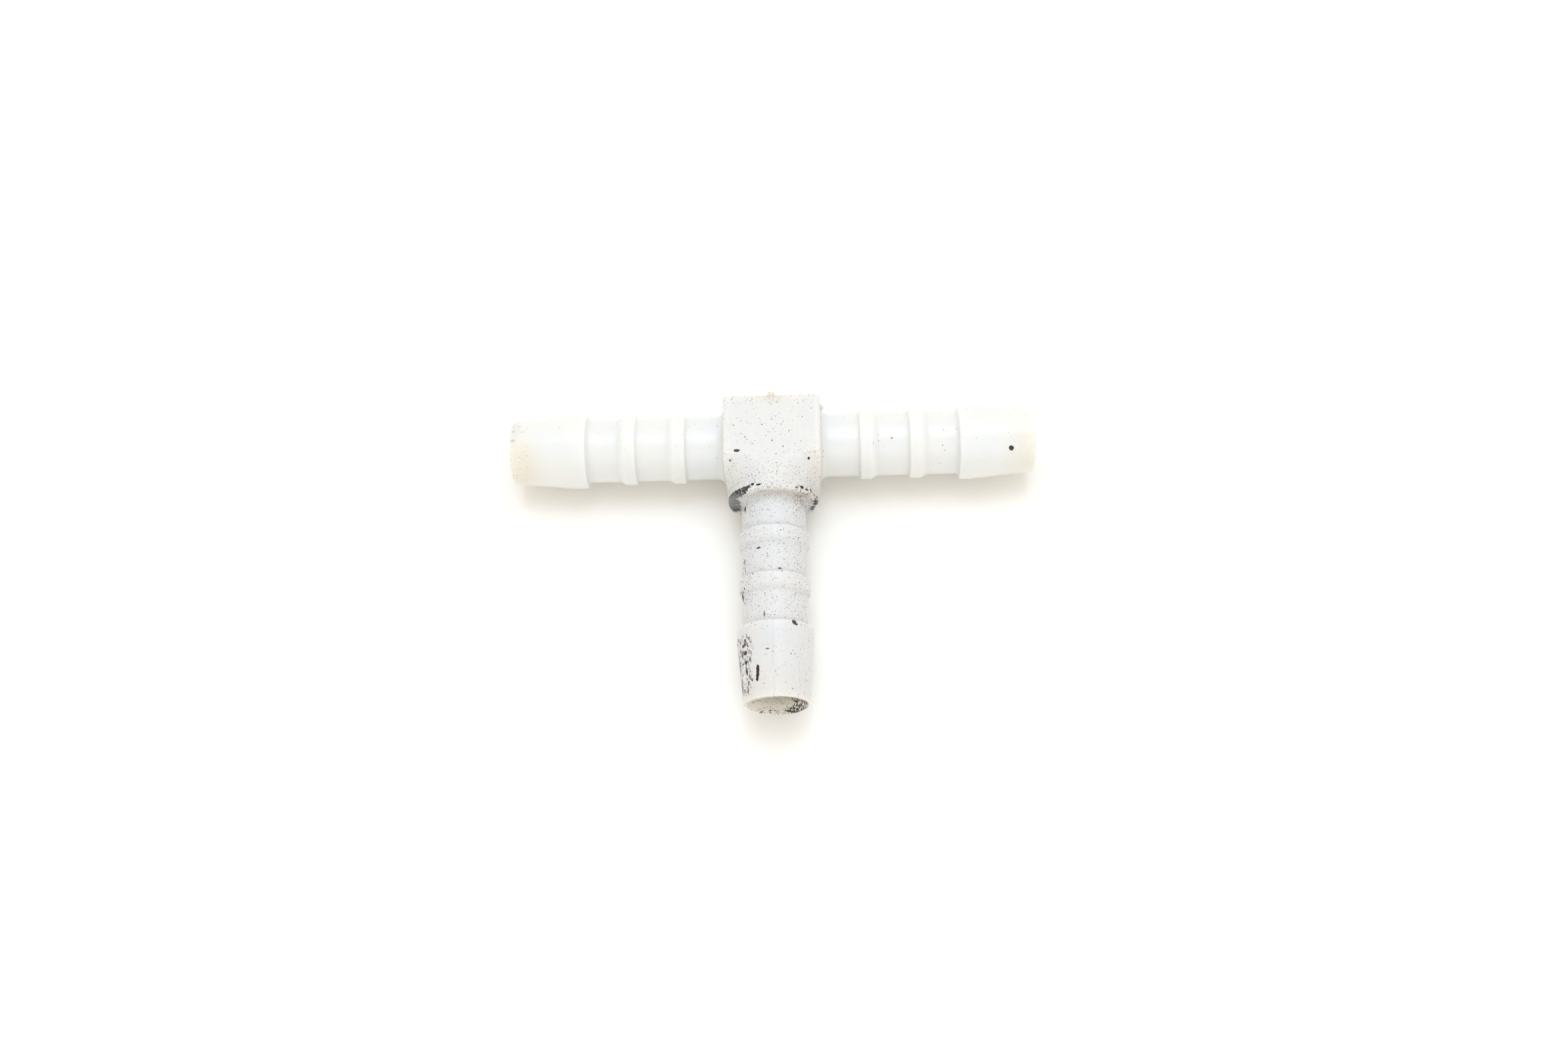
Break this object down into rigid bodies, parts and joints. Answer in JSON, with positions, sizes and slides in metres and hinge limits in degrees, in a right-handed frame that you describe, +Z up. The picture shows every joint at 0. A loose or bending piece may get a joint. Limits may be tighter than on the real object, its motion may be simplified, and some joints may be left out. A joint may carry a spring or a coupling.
{
  "type": "barbed tee hose connector",
  "caption": "Moulded plastic tee that joins three flexible hoses of the same bore, with a straight run, a side branch and barbed spigots around a square hub.",
  "frame": {"origin": "centre of the footprint of the part as it lies flat on the underside of its hub, with the gate stub counted", "axes": "+X along the straight run, +Y away from the branch, +Z up from the face that it lies on"},
  "size_m": [0.066, 0.0396, 0.0114],
  "materials": {
    "tee_plastic": "satin"
  },
  "bodies": {
    "root": {"hub": "tee_plastic", "left_run_spigot": "tee_plastic", "right_run_spigot": "tee_plastic", "branch_spigot": "tee_plastic"}
  },
  "joints": []
}
